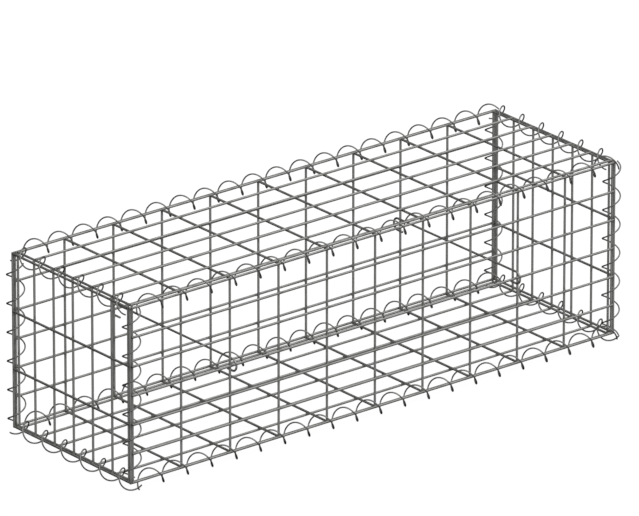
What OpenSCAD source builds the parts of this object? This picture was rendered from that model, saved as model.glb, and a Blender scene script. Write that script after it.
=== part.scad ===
// Gabion basket: a rectangular cage of welded wire mesh, laced along its twelve edges with
// spiral binders and braced front to back by hooked spacer wires.
// Millimetres, +Z up. X runs along the basket, -Y is the front. The origin is on the ground,
// under the middle of the basket, which stands on the lowest turns of its bottom spirals.

/* [Basket] */
// Length between the planes of the two end panels
length = 1000; // [500:100:2000]
// Depth between the planes of the front and back panels
depth = 300; // [200:50:600]
// Height between the planes of the base and the lid
height = 300; // [200:50:600]

/* [Mesh] */
// Diameter of the mesh wire
wire_d = 4; // [2.7:0.1:5]
// Wide spacing of the mesh, near to which each panel is divided evenly
pitch_wide = 100; // [80:10:120]
// Narrow cells, and turns of a spiral, to each wide cell
cell_ratio = 2; // [1:1:3]
// How far two wires sink into each other where they are welded
weld_sink = 0.2; // [0.1:0.05:0.5]
// Length of wire left past the side of the last wire it crosses
stub = 0; // [0:0.5:3]
// Smallest gap between wires of different panels
wire_gap = 0.3; // [0.3:0.1:1]
// How far the outer uprights of an end panel stand in from the corner
end_inset = 7.5; // [5:0.5:10]

/* [Spiral binders] */
// Diameter of the spiral's wire
spiral_wire_d = 2.5; // [2:0.1:4]
// Outer diameter of the spiral
spiral_outer_d = 31.3; // [28:0.1:40]

/* [Spacers] */
// Diameter of the spacer's wire
spacer_wire_d = 3.6; // [3:0.1:5]
// Distance between a spacer's shaft and the tail of its hook
hook_gap = 20.5; // [16:0.5:30]
// How far the middle of a hook's wire reaches out past the plane of its panel
hook_reach = 11.5; // [10:0.5:20]
// Length of a hook's straight tail
hook_tail = 12.5; // [5:0.5:40]

/* [Hidden] */

wire_sides = 8;
wire_r = wire_d / 2;
// Length of wire past the middle of the last wire it crosses
overhang = wire_r + stub;
// Distance between the middles of two welded layers of wire
layer = wire_d - weld_sink;
spiral_r = (spiral_outer_d - spiral_wire_d) / 2;
spiral_sides = 5;
spiral_steps = 12;
// The bottom spirals touch the ground, and carry the base at this height
base_z = spiral_outer_d / 2;
lid_z = base_z + height;
mid_z = base_z + height / 2;
half_l = length / 2;
half_d = depth / 2;
// An end panel stands just outside the corner uprights of the front and back panels
end_x = half_l + 2 * wire_gap;
// Wires along the depth of an end panel stop short of the long wires of the front and back
end_wire_l = depth + 2 * (layer - wire_r - wire_gap);
// Base and lid lie between the uprights of the four walls
flat_l = 2 * (end_x - wire_r - wire_gap);
flat_w = depth - wire_d - 2 * wire_gap;
// Turn angle of each spiral at its first corner, where its turns pass between the mesh wires
front_turn = 180;
back_turn = 150;
upright_turn = 20;
left_back_turn = 46;
top_turn = 147;
bottom_turn = 167;
// Degrees of turn by which each spiral starts after its first corner and ends past its last
// one, so that the three spirals of a corner stay clear of each other
front_ends = [52, 41];
back_ends = [72, 0];
left_front_ends = [14, -7];
left_back_ends = [14, -108];
right_front_ends = [-41, -7];
right_back_ends = [-41, -108];
top_ends = [54, 54];
bottom_ends = [-54, 54];
// Spacers stand beside the third upright from each end, on the side of the middle
spacer_x = half_l - 2 * length / wide_cells(length) - wire_r - spacer_wire_d / 2 - wire_gap;

steel = [0.62, 0.62, 0.60];
bright_steel = [0.70, 0.70, 0.69];

// Number of wide cells and of narrow cells in a span
function wide_cells(span) = round(span / pitch_wide);
function fine_cells(span) = wide_cells(span) * cell_ratio;

// Wires that divide a span into n even cells, with the outer two moved to the given ends
function places(span, n, end) =
    [for (i = [0 : n]) i == 0 ? -end : i == n ? end : -span / 2 + span * i / n];

// One straight wire, centred on the origin along X
module wire(len) {
    rotate([0, 90, 0])
        rotate(180 / wire_sides)
            cylinder(h = len, r = wire_r / cos(180 / wire_sides), center = true, $fn = wire_sides);
}

// A flat mesh in XY: wires along Y at xs in the plane z = 0, wires along X at ys one layer up
module mesh(xs, ys, len_x, len_y) {
    for (x = xs)
        translate([x, 0, 0]) rotate(90) wire(len_y);
    for (y = ys)
        translate([0, y, layer]) wire(len_x);
}

// Front or back, standing in XZ with its long wires on the side facing +Z before it is raised
module long_panel() {
    mesh(places(length, wide_cells(length), half_l),
        places(height, fine_cells(height), height / 2),
        length + 2 * overhang, height + 2 * overhang);
}

// End: uprights close together, wires along the depth one layer outside them
module end_panel() {
    mesh(places(depth, fine_cells(depth), half_d - end_inset),
        places(height, wide_cells(height), height / 2),
        end_wire_l, height + 2 * overhang);
}

// Lid or base, with its long wires one layer outside its cross wires
module flat_panel() {
    mesh(places(length, wide_cells(length), flat_l / 2 - overhang),
        places(depth, fine_cells(depth), flat_w / 2 - overhang),
        flat_l, flat_w);
}

module front_panel() {
    color(steel) translate([0, -half_d, mid_z]) rotate([90, 0, 0]) long_panel();
}

module back_panel() {
    color(steel) translate([0, half_d, mid_z]) rotate([90, 0, 180]) long_panel();
}

module left_end_panel() {
    color(steel) translate([-end_x, 0, mid_z]) rotate([90, 0, -90]) end_panel();
}

module right_end_panel() {
    color(steel) translate([end_x, 0, mid_z]) rotate([90, 0, 90]) end_panel();
}

module base_panel() {
    color(steel) translate([0, 0, base_z]) rotate([180, 0, 0]) flat_panel();
}

module lid_panel() {
    color(steel) translate([0, 0, lid_z]) flat_panel();
}

// Point on a spiral's middle line at an angle from local +X, z being 0 at the angle turn
function spiral_point(a, turn, pitch) =
    [spiral_r * cos(a), spiral_r * sin(a), (a - turn) * pitch / 360];

// Ring of points round the spiral's wire at that angle, square to the wire
function spiral_ring(a, turn, pitch) =
    let (out = [cos(a), sin(a), 0],
         run = [-spiral_r * sin(a), spiral_r * cos(a), pitch / 2 / PI],
         side = cross(run / norm(run), out))
    [for (k = [0 : spiral_sides - 1])
        let (b = 360 * k / spiral_sides)
        spiral_point(a, turn, pitch) + spiral_wire_d / 2 * (cos(b) * out + sin(b) * side)];

// A right-handed spiral along +Z with a turn to each narrow cell of the mesh, from ends[0] degrees
// after z = 0 to ends[1] degrees past z = run_l. Between its ends the rings lie at whole steps of turn, so that
// one is at the lowest point of each turn.
module spiral(run_l, turn, ends) {
    pitch = run_l / fine_cells(run_l);
    step = 360 / spiral_steps;
    first = turn + ends[0];
    last = turn + 360 * run_l / pitch + ends[1];
    between = [for (i = [floor(first / step) + 1 : ceil(last / step) - 1]) i * step];
    angles = concat(first, between, last);
    n = len(angles) - 1;
    m = spiral_sides;
    points = [for (a = angles) each spiral_ring(a, turn, pitch)];
    walls = [for (i = [0 : n - 1], k = [0 : m - 1])
        let (p = i * m + k, q = i * m + (k + 1) % m)
        each [[p, p + m, q], [q, p + m, q + m]]];
    caps = [[for (k = [0 : m - 1]) k], [for (k = [0 : m - 1]) n * m + m - 1 - k]];
    color(bright_steel) polyhedron(points, concat(caps, walls));
}

// Spirals along the length turn from +Y towards +Z
module long_spiral(y, z, turn, ends) {
    translate([-half_l, y, z]) rotate([90, 0, 90]) spiral(length, turn, ends);
}

// Spirals on the uprights turn from +X towards +Y
module upright_spiral(x, y, turn, ends) {
    translate([x, y, base_z]) spiral(height, turn, ends);
}

// Spirals along the depth turn from +Z towards +X
module depth_spiral(x, z, turn, ends) {
    translate([x, -half_d, z]) rotate([-90, -90, 0]) spiral(depth, turn, ends);
}

module spiral_top_front() {
    long_spiral(-half_d, lid_z, front_turn, front_ends);
}

module spiral_top_back() {
    long_spiral(half_d, lid_z, back_turn, back_ends);
}

module spiral_bottom_front() {
    long_spiral(-half_d, base_z, front_turn, front_ends);
}

module spiral_bottom_back() {
    long_spiral(half_d, base_z, back_turn, back_ends);
}

module spiral_left_front() {
    upright_spiral(-half_l, -half_d, upright_turn, left_front_ends);
}

module spiral_left_back() {
    upright_spiral(-half_l, half_d, left_back_turn, left_back_ends);
}

module spiral_right_front() {
    upright_spiral(half_l, -half_d, upright_turn, right_front_ends);
}

module spiral_right_back() {
    upright_spiral(half_l, half_d, upright_turn, right_back_ends);
}

module spiral_top_left() {
    depth_spiral(-half_l, lid_z, top_turn, top_ends);
}

module spiral_top_right() {
    depth_spiral(half_l, lid_z, top_turn, top_ends);
}

module spiral_bottom_left() {
    depth_spiral(-half_l, base_z, bottom_turn, bottom_ends);
}

module spiral_bottom_right() {
    depth_spiral(half_l, base_z, bottom_turn, bottom_ends);
}

// Rod along +Y from y0 to y1, at height z
module rod(y0, y1, z) {
    translate([0, y0, z]) rotate([-90, 0, 0]) cylinder(h = y1 - y0, d = spacer_wire_d, $fn = 24);
}

// Half ring in YZ that joins two heights and bulges towards +Y
module bend() {
    rotate([90, 0, 90])
        rotate([0, 0, -90])
            rotate_extrude(angle = 180, $fn = 48)
                translate([hook_gap / 2, 0]) circle(d = spacer_wire_d, $fn = 24);
}

// A wire across the basket with a hook at each end round the middle long wire
module spacer(x) {
    bend_y = half_d + hook_reach - hook_gap / 2;
    color(steel) translate([x, 0, mid_z]) {
        rod(-bend_y, bend_y, hook_gap / 2);
        for (side = [1, -1])
            rotate(side > 0 ? 0 : 180) {
                translate([0, bend_y, 0]) bend();
                rod(bend_y - hook_tail, bend_y, -hook_gap / 2);
            }
    }
}

module spacer_left() {
    spacer(-spacer_x);
}

module spacer_right() {
    spacer(spacer_x);
}

front_panel();
back_panel();
left_end_panel();
right_end_panel();
base_panel();
lid_panel();
spiral_top_front();
spiral_top_back();
spiral_bottom_front();
spiral_bottom_back();
spiral_left_front();
spiral_left_back();
spiral_right_front();
spiral_right_back();
spiral_top_left();
spiral_top_right();
spiral_bottom_left();
spiral_bottom_right();
spacer_left();
spacer_right();
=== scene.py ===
"""Looks of a gabion basket: welded wire mesh panels, spiral binders and hooked spacers.

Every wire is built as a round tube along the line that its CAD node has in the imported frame.
Metres, +Z up, in the row frame.
"""

import math

import bpy
import numpy as np
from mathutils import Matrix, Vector


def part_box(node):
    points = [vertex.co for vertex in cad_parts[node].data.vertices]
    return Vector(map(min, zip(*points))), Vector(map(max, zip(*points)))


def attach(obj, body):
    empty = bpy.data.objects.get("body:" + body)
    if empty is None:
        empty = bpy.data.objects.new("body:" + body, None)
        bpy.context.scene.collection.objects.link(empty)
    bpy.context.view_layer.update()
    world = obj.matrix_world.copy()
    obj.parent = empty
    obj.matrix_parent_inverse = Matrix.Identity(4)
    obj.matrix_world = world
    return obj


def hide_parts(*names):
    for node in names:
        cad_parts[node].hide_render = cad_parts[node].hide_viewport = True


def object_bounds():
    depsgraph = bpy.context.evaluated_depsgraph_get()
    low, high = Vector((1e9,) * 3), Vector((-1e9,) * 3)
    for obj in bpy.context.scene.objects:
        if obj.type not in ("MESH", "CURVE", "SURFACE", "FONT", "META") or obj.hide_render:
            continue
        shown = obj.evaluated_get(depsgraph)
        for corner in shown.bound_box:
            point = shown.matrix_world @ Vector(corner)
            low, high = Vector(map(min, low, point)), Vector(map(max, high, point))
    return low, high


# Nodes: each panel with the axes of its long and cross wires, and the spirals by their axis
PANELS = {
    "front_panel": (0, 2),
    "back_panel": (0, 2),
    "left_end_panel": (1, 2),
    "right_end_panel": (1, 2),
    "base_panel": (0, 1),
    "lid_panel": (0, 1),
}
SPIRALS = (
    ("spiral_top_front", "spiral_top_back", "spiral_bottom_front", "spiral_bottom_back"),
    ("spiral_top_left", "spiral_top_right", "spiral_bottom_left", "spiral_bottom_right"),
    ("spiral_left_front", "spiral_left_back", "spiral_right_front", "spiral_right_back"),
)
SPACERS = ("spacer_left", "spacer_right")

# Wires
WIRE_R = 0.0020
SPIRAL_WIRE_R = 0.00125
SPACER_WIRE_R = 0.0018
WIRE_SIDES = 12
SPIRAL_WIRE_SIDES = 10
SPACER_WIRE_SIDES = 20
SPAN_STEP = 0.0125
SPIRAL_STEPS_PER_TURN = 36
SPIRAL_PITCH = 0.050
HOOK_TAIL = 0.0125
HOOK_STEPS = 20

# Welds: how far from its middle a weld presses the wires, and by how much
WELD_REACH = 0.0032
WELD_FLATTEN = 0.05
WELD_WIDEN = 0.05
WELD_STAIN_REACH = 0.011
WELD_RINGS = (0.0, 0.0012, 0.0022, 0.0032, 0.0055, 0.009)
BEAD_SIZE = (0.0026, 0.0026, 0.0014)
BEAD_LOOPS = 6
BEAD_SIDES = 12

# Cut wire ends
CUT_CHAMFER = 0.00045
CUT_NARROW = 0.72

# Camera, as the photograph was taken: a long lens from the front left, a little above
CAMERA_AZIMUTH = -39.12
CAMERA_ELEVATION = 21.83
CAMERA_DISTANCE = 19.737
CAMERA_LENS = 685.3
CAMERA_SENSOR = 36.0
CAMERA_SLIDE = (0.0051, 0.0575)

FLOOR_HALF = 60.0
FLOOR_GLOW = 0.94
BACKDROP = (0.985, 0.985, 0.985)

# Brightness of the room from straight down (0) through level (0.5) to straight up (1)
SKY_STOPS = [
    (0.12, (0.015, 0.015, 0.015)),
    (0.31, (0.41, 0.41, 0.405)),
    (0.43, (0.07, 0.07, 0.07)),
    (0.60, (0.09, 0.09, 0.09)),
    (0.82, (0.84, 0.84, 0.83)),
]
# Share of that brightness towards the front and towards the back
FRONT_SHARE = 0.82
BACK_SHARE = 0.135

rng = np.random.default_rng(7)


def unit(v):
    return v / np.linalg.norm(v, axis=-1, keepdims=True)


class WireMesh:
    """Collects round wires into one mesh, with what its material needs at every vertex:
    how near a weld it is, whether it is a cut face, and where it lies along its own wire."""

    def __init__(self):
        self.verts = []
        self.weld = []
        self.cut = []
        self.grain = []
        self.faces = []
        self.flat = []
        self.count = 0

    def add(self, verts, faces, weld, cut, grain, flat=False):
        self.faces += [tuple(int(i) + self.count for i in f) for f in faces]
        self.flat += [flat] * len(faces)
        self.verts.append(verts)
        self.weld.append(weld)
        self.cut.append(cut)
        self.grain.append(grain)
        self.count += len(verts)

    def tube(self, line, side, radius, sides, weld=None, squeeze=None):
        """A round wire along line. side is a direction square to the line at each point.
        squeeze flattens the wire along side and widens it across, as a share of its radius."""
        n = len(line)
        run = unit(np.gradient(line, axis=0))
        side = np.broadcast_to(side, line.shape)
        side = unit(side - (side * run).sum(1, keepdims=True) * run)
        across = np.cross(run, side)
        weld = np.zeros(n) if weld is None else weld
        squeeze = np.zeros(n) if squeeze is None else squeeze
        along = np.concatenate([[0], np.cumsum(np.linalg.norm(np.diff(line, axis=0), axis=1))])
        # Both ends are cut square and lose their sharp edge
        rings = [(0, CUT_NARROW, 0.0), (0, 1.0, CUT_CHAMFER)]
        rings += [(i, 1.0, 0.0) for i in range(1, n - 1)]
        rings += [(n - 1, 1.0, -CUT_CHAMFER), (n - 1, CUT_NARROW, 0.0)]
        index = np.array([r[0] for r in rings])
        scale = np.array([r[1] for r in rings])
        shift = np.array([r[2] for r in rings])
        middle = line[index] + run[index] * shift[:, None]
        turn = np.arange(sides) * 2 * math.pi / sides
        flat = radius * scale * (1 - WELD_FLATTEN * squeeze[index])
        wide = radius * scale * (1 + WELD_WIDEN * squeeze[index])
        out = (
            side[index][:, None] * (np.cos(turn)[None, :, None] * flat[:, None, None])
            + across[index][:, None] * (np.sin(turn)[None, :, None] * wide[:, None, None])
        )
        verts = (middle[:, None] + out).reshape(-1, 3)
        m = len(rings)
        first = np.arange(m - 1)[:, None] * sides + np.arange(sides)[None, :]
        second = np.arange(m - 1)[:, None] * sides + (np.arange(sides)[None, :] + 1) % sides
        faces = np.stack([first, second, second + sides, first + sides], -1).reshape(-1, 4)
        start = rng.uniform(0, 50)
        grain = np.stack(
            [
                np.tile(np.cos(turn), m),
                np.tile(np.sin(turn), m),
                np.repeat(along[index] / radius, sides) + start,
            ],
            1,
        )
        near_weld = np.repeat(weld[index], sides)
        cut = np.repeat((scale < 1.0).astype(float), sides)
        self.add(verts, faces, near_weld, cut, grain)
        for ring, order in ((0, -1), (m - 1, 1)):
            cap = np.arange(sides) + ring * sides
            self.add(
                verts[cap],
                [tuple(range(sides))[::order]],
                near_weld[cap],
                np.ones(sides),
                grain[cap],
                flat=True,
            )

    def bead(self, centre, axes, size):
        """The rounded metal that a weld squeezes out between two crossing wires."""
        tilt = np.linspace(-math.pi / 2, math.pi / 2, BEAD_LOOPS + 1)[1:-1]
        turn = np.arange(BEAD_SIDES) * 2 * math.pi / BEAD_SIDES
        level, angle = np.meshgrid(tilt, turn, indexing="ij")
        corner = 1 + 0.10 * np.cos(4 * (angle - math.pi / 4))
        local = np.stack(
            [
                np.cos(level) * np.cos(angle) * corner,
                np.cos(level) * np.sin(angle) * corner,
                np.sin(level),
            ],
            -1,
        ).reshape(-1, 3)
        local = np.concatenate([local, [[0, 0, -1]], [[0, 0, 1]]])
        verts = centre + (local * size) @ axes
        rows = len(tilt)
        faces = []
        for i in range(rows - 1):
            for j in range(BEAD_SIDES):
                a, b = i * BEAD_SIDES + j, i * BEAD_SIDES + (j + 1) % BEAD_SIDES
                faces.append((a, b, b + BEAD_SIDES, a + BEAD_SIDES))
        low, high = rows * BEAD_SIDES, rows * BEAD_SIDES + 1
        top = (rows - 1) * BEAD_SIDES
        for j in range(BEAD_SIDES):
            k = (j + 1) % BEAD_SIDES
            faces.append((low, k, j))
            faces.append((high, top + j, top + k))
        ones = np.ones(len(verts))
        self.add(verts, faces, ones, 0 * ones, local * 1.4 + rng.uniform(0, 50))

    def make(self, name, material):
        mesh = bpy.data.meshes.new(name)
        mesh.from_pydata(np.concatenate(self.verts).tolist(), [], self.faces)
        smooth = np.logical_not(np.array(self.flat))
        mesh.polygons.foreach_set("use_smooth", smooth)
        for label, kind, field, values in (
            ("weld", "FLOAT", "value", self.weld),
            ("cut", "FLOAT", "value", self.cut),
            ("grain", "FLOAT_VECTOR", "vector", self.grain),
        ):
            layer = mesh.attributes.new(label, kind, "POINT")
            layer.data.foreach_set(field, np.concatenate(values).astype(np.float32).ravel())
        mesh.materials.append(material)
        mesh.update()
        obj = bpy.data.objects.new(name, mesh)
        bpy.context.scene.collection.objects.link(obj)
        return obj


def node_points(node):
    """Vertices of a CAD node, in the row frame."""
    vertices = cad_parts[node].data.vertices
    points = np.zeros(len(vertices) * 3, np.float32)
    vertices.foreach_get("co", points)
    return points.reshape(-1, 3).astype(float)


def wires_along(node, axis):
    """Where a panel's wires along one axis lie: both ends of each, from the end faces that
    they have in the CAD node, in order across the panel."""
    points = node_points(node)
    low, high = points[:, axis].min(), points[:, axis].max()
    faces = points[points[:, axis] < low + WIRE_R / 10]
    spread = np.ptp(faces, axis=0)
    across = int(np.argmax(spread))
    faces = faces[np.argsort(faces[:, across])]
    breaks = np.flatnonzero(np.diff(faces[:, across]) > WIRE_R * 1.2) + 1
    lines = []
    for group in np.split(faces, breaks):
        start = (group.min(0) + group.max(0)) / 2
        end = start.copy()
        start[axis], end[axis] = low, high
        lines.append((start, end))
    return lines


def nearness(positions, places, reach):
    """1 at a place and 0 further than reach from any, with a smooth fall between."""
    apart = np.abs(positions[:, None] - np.array(places)[None, :]).min(1)
    share = np.clip(1 - apart / reach, 0, 1)
    return share * share * (3 - 2 * share)


def straight_wire(mesh, start, end, axis, welds, normal):
    """One mesh wire, pressed a little flat at its welds."""
    low, high = start[axis], end[axis]
    stops = {low, high}
    stops.update(low + SPAN_STEP * i for i in range(1, int((high - low) / SPAN_STEP)))
    for place in welds:
        for d in WELD_RINGS:
            stops.update((place - d, place + d))
    stops = np.array(sorted(s for s in stops if low <= s <= high))
    keep = np.concatenate([[True], np.diff(stops) > 0.0006])
    keep[-1] = True
    stops = stops[keep]
    line = np.repeat(start[None, :], len(stops), 0)
    line[:, axis] = stops
    stain = nearness(stops, welds, WELD_STAIN_REACH)
    squeeze = nearness(stops, welds, WELD_REACH * 1.6)
    mesh.tube(line, normal, WIRE_R, WIRE_SIDES, stain, squeeze)


def mesh_panel(node, long_axis, cross_axis):
    """A welded panel: its long wires, its cross wires, and a bead at each crossing."""
    mesh = WireMesh()
    longs = wires_along(node, long_axis)
    crosses = wires_along(node, cross_axis)
    normal_axis = 3 - long_axis - cross_axis
    normal = np.zeros(3)
    normal[normal_axis] = 1.0
    long_welds = [c[0][long_axis] for c in crosses]
    cross_welds = [w[0][cross_axis] for w in longs]
    for start, end in longs:
        straight_wire(mesh, start, end, long_axis, long_welds, normal)
    for start, end in crosses:
        straight_wire(mesh, start, end, cross_axis, cross_welds, normal)
    axes = np.eye(3)[[long_axis, cross_axis, normal_axis]]
    for long_start, _ in longs:
        for cross_start, _ in crosses:
            centre = np.zeros(3)
            centre[long_axis] = cross_start[long_axis]
            centre[cross_axis] = long_start[cross_axis]
            centre[normal_axis] = (cross_start[normal_axis] + long_start[normal_axis]) / 2
            grown = np.array(BEAD_SIZE) * rng.uniform(0.92, 1.06, 3)
            mesh.bead(centre, axes, grown)
    return mesh


def spiral_binder(node, axis):
    """A spiral along one axis, with the turn, radius and ends that its CAD node has."""
    mesh = WireMesh()
    points = node_points(node)
    a, b = (axis + 1) % 3, (axis + 2) % 3
    low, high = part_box(node)
    middle = [(low[a] + high[a]) / 2, (low[b] + high[b]) / 2]
    radius = (high[a] - low[a]) / 2 - SPIRAL_WIRE_R
    for _ in range(3):
        across = points[:, [a, b]] - middle
        rate = 2 * math.pi / SPIRAL_PITCH
        heading = np.arctan2(across[:, 1], across[:, 0]) - rate * points[:, axis]
        phase = np.angle(np.exp(1j * heading).mean())
        angles = rate * points[:, axis] + phase
        offset = across - radius * np.stack([np.cos(angles), np.sin(angles)], 1)
        middle = [middle[0] + offset[:, 0].mean(), middle[1] + offset[:, 1].mean()]
    lead = math.hypot(1.0, SPIRAL_PITCH / (2 * math.pi * radius))
    start = low[axis] + SPIRAL_WIRE_R / lead
    end = high[axis] - SPIRAL_WIRE_R / lead
    steps = int((end - start) / SPIRAL_PITCH * SPIRAL_STEPS_PER_TURN)
    along = np.linspace(start, end, steps + 1)
    angles = rate * along + phase
    line = np.zeros((len(along), 3))
    out = np.zeros((len(along), 3))
    out[:, a], out[:, b] = np.cos(angles), np.sin(angles)
    line[:, axis] = along
    line[:, a] = middle[0] + radius * out[:, a]
    line[:, b] = middle[1] + radius * out[:, b]
    mesh.tube(line, out, SPIRAL_WIRE_R, SPIRAL_WIRE_SIDES)
    return mesh


def spacer(node):
    """A wire across the basket with a hook at each end, in the plane x = constant."""
    mesh = WireMesh()
    low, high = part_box(node)
    x = (low.x + high.x) / 2
    mid_z = (low.z + high.z) / 2
    rise = (high.z - low.z) / 2 - SPACER_WIRE_R
    bend_y = high.y - SPACER_WIRE_R - rise
    turns = np.linspace(math.pi / 2, -math.pi / 2, HOOK_STEPS + 1)
    shaft = np.linspace(0, bend_y, 12)[:-1]
    tail = np.linspace(bend_y, bend_y - HOOK_TAIL, 4)[1:]
    half = [(y, rise) for y in shaft]
    half += [(bend_y + rise * math.cos(t), rise * math.sin(t)) for t in turns]
    half += [(y, -rise) for y in tail]
    half = np.array(half)
    other = half[1:][::-1] * [-1, 1]
    path = np.concatenate([other, half])
    line = np.stack([np.full(len(path), x), path[:, 0], mid_z + path[:, 1]], 1)
    mesh.tube(line, np.array([1.0, 0.0, 0.0]), SPACER_WIRE_R, SPACER_WIRE_SIDES)
    return mesh


def add_node(tree, kind, inputs=(), **settings):
    made = tree.nodes.new(kind)
    for key, value in settings.items():
        setattr(made, key, value)
    for name, value in dict(inputs).items():
        socket = made.inputs[name]
        if isinstance(value, bpy.types.NodeSocket):
            tree.links.new(value, socket)
        else:
            socket.default_value = value
    return made


def noise(tree, vector, scale, detail=3.0, rough=0.55):
    made = add_node(
        tree,
        "ShaderNodeTexNoise",
        {"Vector": vector, "Scale": scale, "Detail": detail, "Roughness": rough},
    )
    return made.outputs["Fac"]


def ramp(tree, factor, stops):
    """A colour ramp from (place, colour) stops."""
    made = add_node(tree, "ShaderNodeValToRGB", {"Fac": factor})
    elements = made.color_ramp.elements
    while len(elements) < len(stops):
        elements.new(0.5)
    for element, (place, colour) in zip(elements, stops):
        element.position = place
        element.color = (*colour, 1.0)
    return made.outputs["Color"]


def blend_colours(tree, factor, low, high, mode="MIX"):
    made = add_node(tree, "ShaderNodeMix", data_type="RGBA", blend_type=mode)
    for socket, value in ((0, factor), (6, low), (7, high)):
        if isinstance(value, bpy.types.NodeSocket):
            tree.links.new(value, made.inputs[socket])
        elif socket == 0:
            made.inputs[socket].default_value = value
        else:
            made.inputs[socket].default_value = (*value, 1.0)
    return made.outputs[2]


def scaled(tree, value, low, high, start=0.0, end=1.0):
    made = add_node(
        tree,
        "ShaderNodeMapRange",
        {"Value": value, "From Min": start, "From Max": end, "To Min": low, "To Max": high},
    )
    return made.outputs["Result"]


def maths(tree, operation, a, b):
    made = add_node(tree, "ShaderNodeMath", operation=operation)
    for socket, value in ((0, a), (1, b)):
        if isinstance(value, bpy.types.NodeSocket):
            tree.links.new(value, made.inputs[socket])
        else:
            made.inputs[socket].default_value = value
    return made.outputs[0]


def galvanised_wire(name, dark, light, rough_low, rough_high, streaks):
    """Zinc-coated drawn wire: drawing streaks along the wire, cloudy patches of duller zinc,
    small grains, dull stained welds and bare cut ends."""
    material = bpy.data.materials.new(name)
    material.use_nodes = True
    tree = material.node_tree
    tree.nodes.clear()
    place = add_node(tree, "ShaderNodeTexCoord").outputs["Object"]
    grain = add_node(tree, "ShaderNodeAttribute", attribute_name="grain").outputs["Vector"]
    weld = add_node(tree, "ShaderNodeAttribute", attribute_name="weld").outputs["Fac"]
    cut = add_node(tree, "ShaderNodeAttribute", attribute_name="cut").outputs["Fac"]
    stretched = add_node(
        tree, "ShaderNodeMapping", {"Vector": grain, "Scale": (3.0, 3.0, 0.06)}
    ).outputs["Vector"]
    drawn = noise(tree, stretched, 2.2, 4.0)
    clouds = noise(tree, place, 38.0, 4.0, 0.6)
    grains = add_node(
        tree, "ShaderNodeTexVoronoi", {"Vector": place, "Scale": 900.0}
    ).outputs["Color"]
    specks = noise(tree, place, 1400.0, 2.0)
    base = ramp(tree, clouds, [(0.30, dark), (0.70, light)])
    base = blend_colours(tree, 0.10, base, grains, "OVERLAY")
    streak_shade = ramp(tree, drawn, [(0.35, (0.80, 0.80, 0.80)), (0.62, (1.0, 1.0, 1.0))])
    base = blend_colours(tree, streaks, base, streak_shade, "MULTIPLY")
    stain_noise = scaled(tree, specks, 0.55, 1.0, 0.35, 0.65)
    stain = maths(tree, "MULTIPLY", weld, stain_noise)
    base = blend_colours(
        tree, maths(tree, "MULTIPLY", stain, 0.55), base, (0.30, 0.285, 0.265)
    )
    base = blend_colours(tree, maths(tree, "MULTIPLY", cut, 0.6), base, (0.24, 0.235, 0.23))
    rough = scaled(tree, clouds, rough_low, rough_high, 0.3, 0.7)
    rough = maths(tree, "ADD", rough, scaled(tree, drawn, -0.04, 0.06, 0.3, 0.7))
    rough = maths(tree, "ADD", rough, maths(tree, "MULTIPLY", stain, 0.16))
    height = maths(tree, "MULTIPLY", drawn, 0.6)
    height = maths(tree, "ADD", height, maths(tree, "MULTIPLY", specks, 0.35))
    bump = add_node(
        tree, "ShaderNodeBump", {"Strength": 0.22, "Distance": 0.0002, "Height": height}
    ).outputs["Normal"]
    shader = add_node(
        tree,
        "ShaderNodeBsdfPrincipled",
        {"Base Color": base, "Roughness": rough, "Normal": bump, "Metallic": 1.0},
    )
    output = add_node(tree, "ShaderNodeOutputMaterial")
    tree.links.new(shader.outputs["BSDF"], output.inputs["Surface"])
    return material


def make_pieces():
    mesh_steel = galvanised_wire(
        "mesh_wire", (0.80, 0.80, 0.782), (0.94, 0.94, 0.92), 0.26, 0.38, 0.7
    )
    # The spiral wire gets a darker base colour than the mesh wire: painted shade, standing in for
    # the darker look that the spirals have under the light.
    spiral_steel_painted_shade = galvanised_wire(
        "spiral_wire", (0.48, 0.48, 0.468), (0.70, 0.70, 0.685), 0.14, 0.26, 0.6
    )
    spacer_steel = galvanised_wire(
        "spacer_wire", (0.80, 0.80, 0.782), (0.94, 0.94, 0.92), 0.24, 0.36, 0.7
    )
    for node, (long_axis, cross_axis) in PANELS.items():
        place_piece(mesh_panel(node, long_axis, cross_axis), node, mesh_steel)
    for axis, nodes in enumerate(SPIRALS):
        for node in nodes:
            place_piece(spiral_binder(node, axis), node, spiral_steel_painted_shade)
    for node in SPACERS:
        place_piece(spacer(node), node, spacer_steel)


def place_piece(mesh, node, material):
    piece = mesh.make(node + "_wire", material)
    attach(piece, "root")
    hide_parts(node)


def make_floor():
    """A plain pale floor that the wires don't mirror."""
    mesh = bpy.data.meshes.new("floor")
    corners = [(-1, -1), (1, -1), (1, 1), (-1, 1)]
    mesh.from_pydata([(x * FLOOR_HALF, y * FLOOR_HALF, 0) for x, y in corners], [], [(0, 1, 2, 3)])
    material = bpy.data.materials.new("floor")
    material.use_nodes = True
    shader = material.node_tree.nodes["Principled BSDF"]
    shader.inputs["Base Color"].default_value = (0.22, 0.22, 0.22, 1.0)
    shader.inputs["Roughness"].default_value = 0.9
    shader.inputs["Specular IOR Level"].default_value = 0.0
    shader.inputs["Emission Color"].default_value = (1.0, 1.0, 1.0, 1.0)
    shader.inputs["Emission Strength"].default_value = FLOOR_GLOW
    mesh.materials.append(material)
    floor = bpy.data.objects.new("floor", mesh)
    bpy.context.scene.collection.objects.link(floor)
    floor.visible_glossy = False
    floor.visible_diffuse = False


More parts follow.
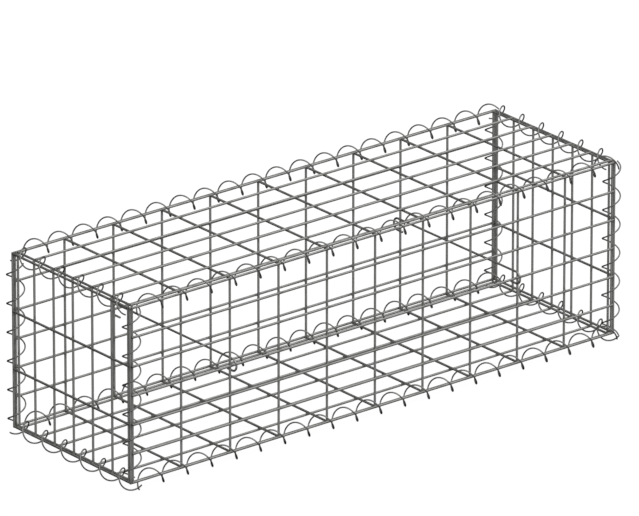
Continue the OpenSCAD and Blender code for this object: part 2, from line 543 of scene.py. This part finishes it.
def make_light():
    """An even pale room. What the wires mirror is bright above and at the front, and dim at
    the back, with a band of light just below level."""
    world = bpy.data.worlds.new("studio")
    bpy.context.scene.world = world
    world.use_nodes = True
    tree = world.node_tree
    tree.nodes.clear()
    direction = add_node(tree, "ShaderNodeTexCoord").outputs["Generated"]
    parts = add_node(tree, "ShaderNodeSeparateXYZ", {"Vector": direction}).outputs
    sky = ramp(
        tree,
        scaled(tree, parts["Z"], 0.0, 1.0, -1.0, 1.0),
        SKY_STOPS,
    )
    front = scaled(tree, parts["Y"], FRONT_SHARE, BACK_SHARE, -0.2, 0.8)
    shaped = blend_colours(tree, 1.0, sky, front, "MULTIPLY")
    seen = add_node(tree, "ShaderNodeLightPath").outputs["Is Camera Ray"]
    colour = blend_colours(tree, seen, shaped, BACKDROP)
    background = add_node(tree, "ShaderNodeBackground", {"Color": colour, "Strength": 1.0})
    output = add_node(tree, "ShaderNodeOutputWorld")
    tree.links.new(background.outputs["Background"], output.inputs["Surface"])


def make_camera():
    low, high = cad_box
    focus = (low + high) / 2
    a, e = math.radians(CAMERA_AZIMUTH), math.radians(CAMERA_ELEVATION)
    back = Vector((math.sin(a) * math.cos(e), -math.cos(a) * math.cos(e), math.sin(e)))
    right = Vector((math.cos(a), math.sin(a), 0))
    up = back.cross(right)
    data = bpy.data.cameras.new("camera")
    data.sensor_width = CAMERA_SENSOR
    data.lens = CAMERA_LENS
    data.clip_end = 200.0
    camera = bpy.data.objects.new("camera", data)
    camera.location = (
        focus + back * CAMERA_DISTANCE + right * CAMERA_SLIDE[0] + up * CAMERA_SLIDE[1]
    )
    camera.rotation_mode = "QUATERNION"
    camera.rotation_quaternion = (-back).to_track_quat("-Z", "Y")
    bpy.context.scene.collection.objects.link(camera)
    bpy.context.scene.camera = camera


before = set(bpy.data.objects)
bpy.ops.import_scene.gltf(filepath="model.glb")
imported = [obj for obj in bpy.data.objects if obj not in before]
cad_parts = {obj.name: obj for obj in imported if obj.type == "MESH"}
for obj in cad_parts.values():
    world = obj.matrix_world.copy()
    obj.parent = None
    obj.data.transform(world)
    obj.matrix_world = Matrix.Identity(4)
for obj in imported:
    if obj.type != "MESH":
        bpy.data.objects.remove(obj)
cad_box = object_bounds()
make_camera()
make_pieces()
make_floor()
make_light()
bpy.context.scene.view_settings.view_transform = "Standard"
